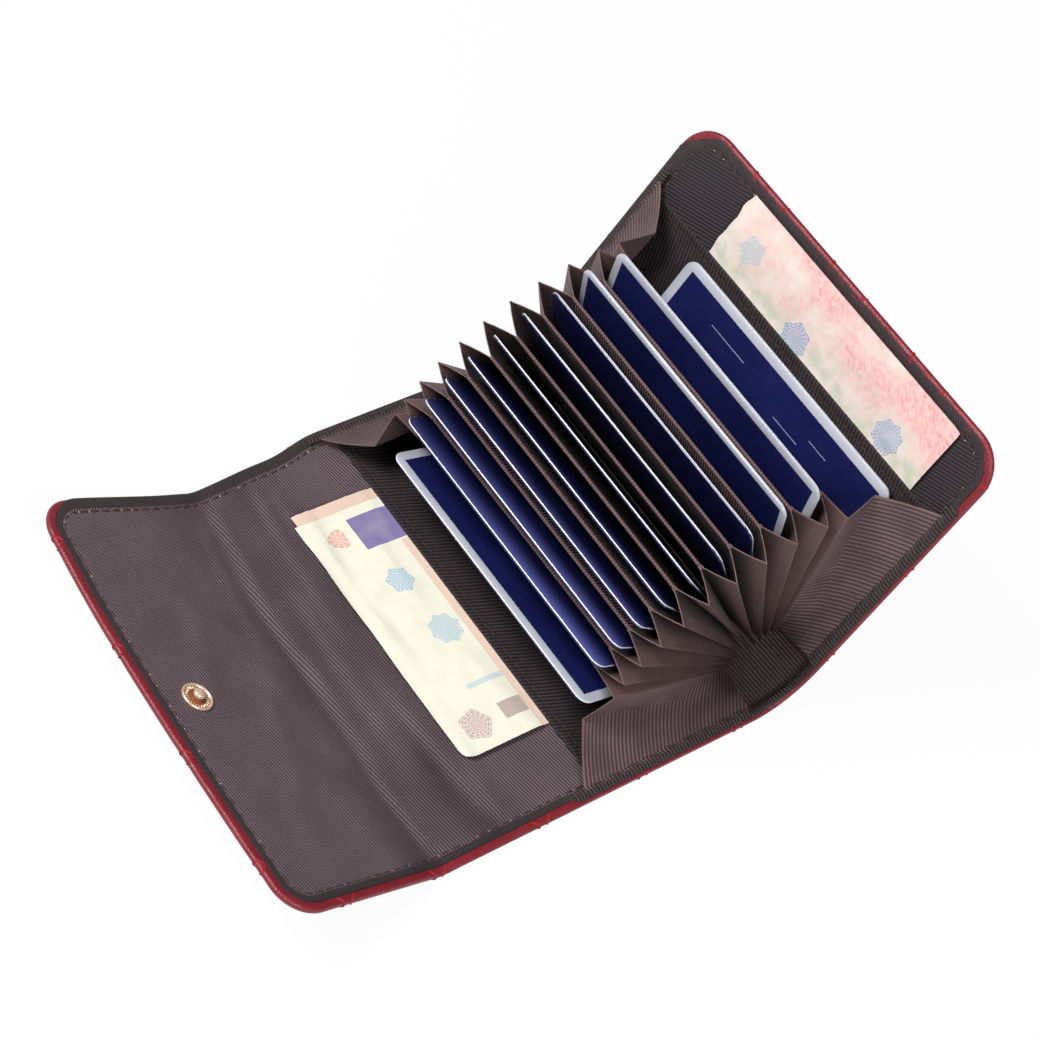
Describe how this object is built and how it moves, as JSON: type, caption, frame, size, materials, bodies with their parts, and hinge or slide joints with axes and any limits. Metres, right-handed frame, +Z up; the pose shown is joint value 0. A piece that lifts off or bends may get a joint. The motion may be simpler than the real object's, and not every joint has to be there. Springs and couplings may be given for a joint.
{
  "type": "accordion card wallet",
  "caption": "Flap-over leather wallet lying open, with fanned cloth card pockets between its two panels, side gussets, cards, slip pockets holding notes, and a snap.",
  "frame": {"origin": "centre of the bounding box, at the floor that the back panel lies on", "axes": "+X along the wallet's width, -Y from the spine towards the flap, +Z up"},
  "size_m": [0.127, 0.202, 0.0863],
  "materials": {
    "leather": "embossed satin leather",
    "lining": "twill-woven lining",
    "ribbed_cloth": "ribbed grosgrain cloth",
    "card": "laminated card",
    "cream_paper": "cotton note paper",
    "pink_paper": "cotton note paper",
    "snap_metal": "polished rose gold plate"
  },
  "bodies": {
    "back": {"back_cover": "leather", "back_lining": "lining", "back_slip_pocket": "ribbed_cloth", "spine_cover": "leather", "spine_lining": "ribbed_cloth"},
    "strip": {"strip_cover": "leather", "strip_lining": "lining"},
    "flap": {"flap_cover": "leather", "flap_lining": "lining", "snap_stud": "snap_metal", "snap_cap": "snap_metal"},
    "divider_0": {"divider_0": "ribbed_cloth"},
    "divider_1": {"divider_1": "ribbed_cloth"},
    "divider_2": {"divider_2": "ribbed_cloth"},
    "divider_3": {"divider_3": "ribbed_cloth"},
    "divider_4": {"divider_4": "ribbed_cloth"},
    "divider_5": {"divider_5": "ribbed_cloth"},
    "divider_6": {"divider_6": "ribbed_cloth"},
    "divider_7": {"divider_7": "ribbed_cloth"},
    "divider_8": {"divider_8": "ribbed_cloth"},
    "divider_9": {"divider_9": "ribbed_cloth"},
    "front": {"front_cover": "leather", "front_lining": "lining", "front_slip_pocket": "ribbed_cloth", "snap_socket": "snap_metal"},
    "pocket_0": {"gusset_0": "ribbed_cloth"},
    "pocket_1": {"gusset_1": "ribbed_cloth"},
    "pocket_2": {"gusset_2": "ribbed_cloth"},
    "pocket_3": {"gusset_3": "ribbed_cloth"},
    "pocket_4": {"gusset_4": "ribbed_cloth"},
    "pocket_5": {"gusset_5": "ribbed_cloth"},
    "pocket_6": {"gusset_6": "ribbed_cloth"},
    "pocket_7": {"gusset_7": "ribbed_cloth"},
    "pocket_8": {"gusset_8": "ribbed_cloth"},
    "pocket_9": {"gusset_9": "ribbed_cloth"},
    "pocket_10": {"gusset_10": "ribbed_cloth"},
    "card_0": {"card_0": "card"},
    "card_1": {"card_1": "card"},
    "card_2": {"card_2": "card"},
    "card_3": {"card_3": "card"},
    "card_4": {"card_4": "card"},
    "card_5": {"card_5": "card"},
    "card_6": {"card_6": "card"},
    "card_7": {"card_7": "card"},
    "card_8": {"card_8": "card"},
    "card_9": {"card_9": "card"},
    "card_10": {"card_10": "card"},
    "back_note": {"back_note": "cream_paper"},
    "front_note": {"front_note": "pink_paper"}
  },
  "joints": [
    {"name": "strip_fold", "type": "hinge", "parent": "back", "child": "strip", "pos_m": [0, -0.02635, 0.00185], "axis": [1, 0, 0], "range_deg": [-90, 0]},
    {"name": "flap_fold", "type": "hinge", "parent": "strip", "child": "flap", "pos_m": [0, -0.051, 0.00185], "axis": [1, 0, 0], "range_deg": [-70, 18]},
    {"name": "front_fold", "type": "hinge", "parent": "divider_9", "child": "front", "pos_m": [0, 0.06662, 0.01378], "axis": [-1, 0, 0], "range_deg": [-23.1, 0], "deforming": ["spine_cover", "spine_lining"]},
    {"name": "divider_0_fold", "type": "hinge", "parent": "back", "child": "divider_0", "pos_m": [0, 0.0533, 0.00365], "axis": [-1, 0, 0], "range_deg": [-22.01, 0]},
    {"name": "divider_1_fold", "type": "hinge", "parent": "divider_0", "child": "divider_1", "pos_m": [0, 0.05397, 0.00532], "axis": [-1, 0, 0], "range_deg": [-5.51, 0]},
    {"name": "divider_2_fold", "type": "hinge", "parent": "divider_1", "child": "divider_2", "pos_m": [0, 0.05481, 0.00692], "axis": [-1, 0, 0], "range_deg": [-6.02, 0]},
    {"name": "divider_3_fold", "type": "hinge", "parent": "divider_2", "child": "divider_3", "pos_m": [0, 0.0558, 0.00842], "axis": [-1, 0, 0], "range_deg": [-6.53, 0]},
    {"name": "divider_4_fold", "type": "hinge", "parent": "divider_3", "child": "divider_4", "pos_m": [0, 0.05696, 0.00979], "axis": [-1, 0, 0], "range_deg": [-7.04, 0]},
    {"name": "divider_5_fold", "type": "hinge", "parent": "divider_4", "child": "divider_5", "pos_m": [0, 0.05827, 0.01102], "axis": [-1, 0, 0], "range_deg": [-7.55, 0]},
    {"name": "divider_6_fold", "type": "hinge", "parent": "divider_5", "child": "divider_6", "pos_m": [0, 0.05974, 0.01206], "axis": [-1, 0, 0], "range_deg": [-8.06, 0]},
    {"name": "divider_7_fold", "type": "hinge", "parent": "divider_6", "child": "divider_7", "pos_m": [0, 0.06134, 0.01289], "axis": [-1, 0, 0], "range_deg": [-8.57, 0]},
    {"name": "divider_8_fold", "type": "hinge", "parent": "divider_7", "child": "divider_8", "pos_m": [0, 0.06304, 0.01347], "axis": [-1, 0, 0], "range_deg": [-9.08, 0]},
    {"name": "divider_9_fold", "type": "hinge", "parent": "divider_8", "child": "divider_9", "pos_m": [0, 0.06482, 0.01377], "axis": [-1, 0, 0], "range_deg": [-9.59, 0]},
    {"name": "pocket_0_fold", "type": "hinge", "parent": "back", "child": "pocket_0", "pos_m": [0, 0.0533, 0.00365], "axis": [-1, 0, 0], "range_deg": [-16.07, 0], "deforming": ["gusset_0"]},
    {"name": "pocket_1_fold", "type": "hinge", "parent": "divider_0", "child": "pocket_1", "pos_m": [0, 0.05397, 0.00532], "axis": [-1, 0, 0], "range_deg": [-2.76, 0], "deforming": ["gusset_1"]},
    {"name": "pocket_2_fold", "type": "hinge", "parent": "divider_1", "child": "pocket_2", "pos_m": [0, 0.05481, 0.00692], "axis": [-1, 0, 0], "range_deg": [-3.02, 0], "deforming": ["gusset_2"]},
    {"name": "pocket_3_fold", "type": "hinge", "parent": "divider_2", "child": "pocket_3", "pos_m": [0, 0.0558, 0.00842], "axis": [-1, 0, 0], "range_deg": [-3.27, 0], "deforming": ["gusset_3"]},
    {"name": "pocket_4_fold", "type": "hinge", "parent": "divider_3", "child": "pocket_4", "pos_m": [0, 0.05696, 0.00979], "axis": [-1, 0, 0], "range_deg": [-3.52, 0], "deforming": ["gusset_4"]},
    {"name": "pocket_5_fold", "type": "hinge", "parent": "divider_4", "child": "pocket_5", "pos_m": [0, 0.05827, 0.01102], "axis": [-1, 0, 0], "range_deg": [-3.78, 0], "deforming": ["gusset_5"]},
    {"name": "pocket_6_fold", "type": "hinge", "parent": "divider_5", "child": "pocket_6", "pos_m": [0, 0.05974, 0.01206], "axis": [-1, 0, 0], "range_deg": [-4.04, 0], "deforming": ["gusset_6"]},
    {"name": "pocket_7_fold", "type": "hinge", "parent": "divider_6", "child": "pocket_7", "pos_m": [0, 0.06134, 0.01289], "axis": [-1, 0, 0], "range_deg": [-4.29, 0], "deforming": ["gusset_7"]},
    {"name": "pocket_8_fold", "type": "hinge", "parent": "divider_7", "child": "pocket_8", "pos_m": [0, 0.06304, 0.01347], "axis": [-1, 0, 0], "range_deg": [-4.54, 0], "deforming": ["gusset_8"]},
    {"name": "pocket_9_fold", "type": "hinge", "parent": "divider_8", "child": "pocket_9", "pos_m": [0, 0.06482, 0.01377], "axis": [-1, 0, 0], "range_deg": [-4.8, 0], "deforming": ["gusset_9"]},
    {"name": "pocket_10_fold", "type": "hinge", "parent": "divider_9", "child": "pocket_10", "pos_m": [0, 0.06662, 0.01378], "axis": [-1, 0, 0], "range_deg": [-20.8, 0], "deforming": ["gusset_10"]},
    {"name": "card_0_slide", "type": "slide", "parent": "pocket_0", "child": "card_0", "axis": [0, -0.961, 0.2766], "range_m": [0, 0.03]},
    {"name": "card_1_slide", "type": "slide", "parent": "pocket_1", "child": "card_1", "axis": [0, -0.9081, 0.4187], "range_m": [0, 0.03]},
    {"name": "card_2_slide", "type": "slide", "parent": "pocket_2", "child": "card_2", "axis": [0, -0.8616, 0.5076], "range_m": [0, 0.03]},
    {"name": "card_3_slide", "type": "slide", "parent": "pocket_3", "child": "card_3", "axis": [0, -0.801, 0.5986], "range_m": [0, 0.03]},
    {"name": "card_4_slide", "type": "slide", "parent": "pocket_4", "child": "card_4", "axis": [0, -0.7248, 0.6889], "range_m": [0, 0.03]},
    {"name": "card_5_slide", "type": "slide", "parent": "pocket_5", "child": "card_5", "axis": [0, -0.6316, 0.7753], "range_m": [0, 0.03]},
    {"name": "card_6_slide", "type": "slide", "parent": "pocket_6", "child": "card_6", "axis": [0, -0.5206, 0.8538], "range_m": [0, 0.03]},
    {"name": "card_7_slide", "type": "slide", "parent": "pocket_7", "child": "card_7", "axis": [0, -0.3919, 0.92], "range_m": [0, 0.03]},
    {"name": "card_8_slide", "type": "slide", "parent": "pocket_8", "child": "card_8", "axis": [0, -0.2462, 0.9692], "range_m": [0, 0.03]},
    {"name": "card_9_slide", "type": "slide", "parent": "pocket_9", "child": "card_9", "axis": [0, -0.0859, 0.9963], "range_m": [0, 0.03]},
    {"name": "card_10_slide", "type": "slide", "parent": "pocket_10", "child": "card_10", "axis": [0, 0.3527, 0.9358], "range_m": [0, 0.03]},
    {"name": "back_note_slide", "type": "slide", "parent": "back", "child": "back_note", "axis": [0, -1, 0], "range_m": [0, 0.024]},
    {"name": "front_note_slide", "type": "slide", "parent": "front", "child": "front_note", "axis": [0, 0.3901, 0.9208], "range_m": [0, 0.03]}
  ],
  "couplings": [
    {"joint": "divider_0_fold", "follows": "front_fold", "ratio": 0.95238},
    {"joint": "divider_1_fold", "follows": "front_fold", "ratio": 0.2381},
    {"joint": "divider_2_fold", "follows": "front_fold", "ratio": 0.26017},
    {"joint": "divider_3_fold", "follows": "front_fold", "ratio": 0.28225},
    {"joint": "divider_4_fold", "follows": "front_fold", "ratio": 0.30433},
    {"joint": "divider_5_fold", "follows": "front_fold", "ratio": 0.32641},
    {"joint": "divider_6_fold", "follows": "front_fold", "ratio": 0.34848},
    {"joint": "divider_7_fold", "follows": "front_fold", "ratio": 0.37056},
    {"joint": "divider_8_fold", "follows": "front_fold", "ratio": 0.39264},
    {"joint": "divider_9_fold", "follows": "front_fold", "ratio": 0.41472},
    {"joint": "pocket_0_fold", "follows": "front_fold", "ratio": 0.69524},
    {"joint": "pocket_1_fold", "follows": "front_fold", "ratio": 0.11905},
    {"joint": "pocket_2_fold", "follows": "front_fold", "ratio": 0.13009},
    {"joint": "pocket_3_fold", "follows": "front_fold", "ratio": 0.14113},
    {"joint": "pocket_4_fold", "follows": "front_fold", "ratio": 0.15216},
    {"joint": "pocket_5_fold", "follows": "front_fold", "ratio": 0.1632},
    {"joint": "pocket_6_fold", "follows": "front_fold", "ratio": 0.17424},
    {"joint": "pocket_7_fold", "follows": "front_fold", "ratio": 0.18528},
    {"joint": "pocket_8_fold", "follows": "front_fold", "ratio": 0.19632},
    {"joint": "pocket_9_fold", "follows": "front_fold", "ratio": 0.20736},
    {"joint": "pocket_10_fold", "follows": "front_fold", "ratio": 0.9}
  ]
}
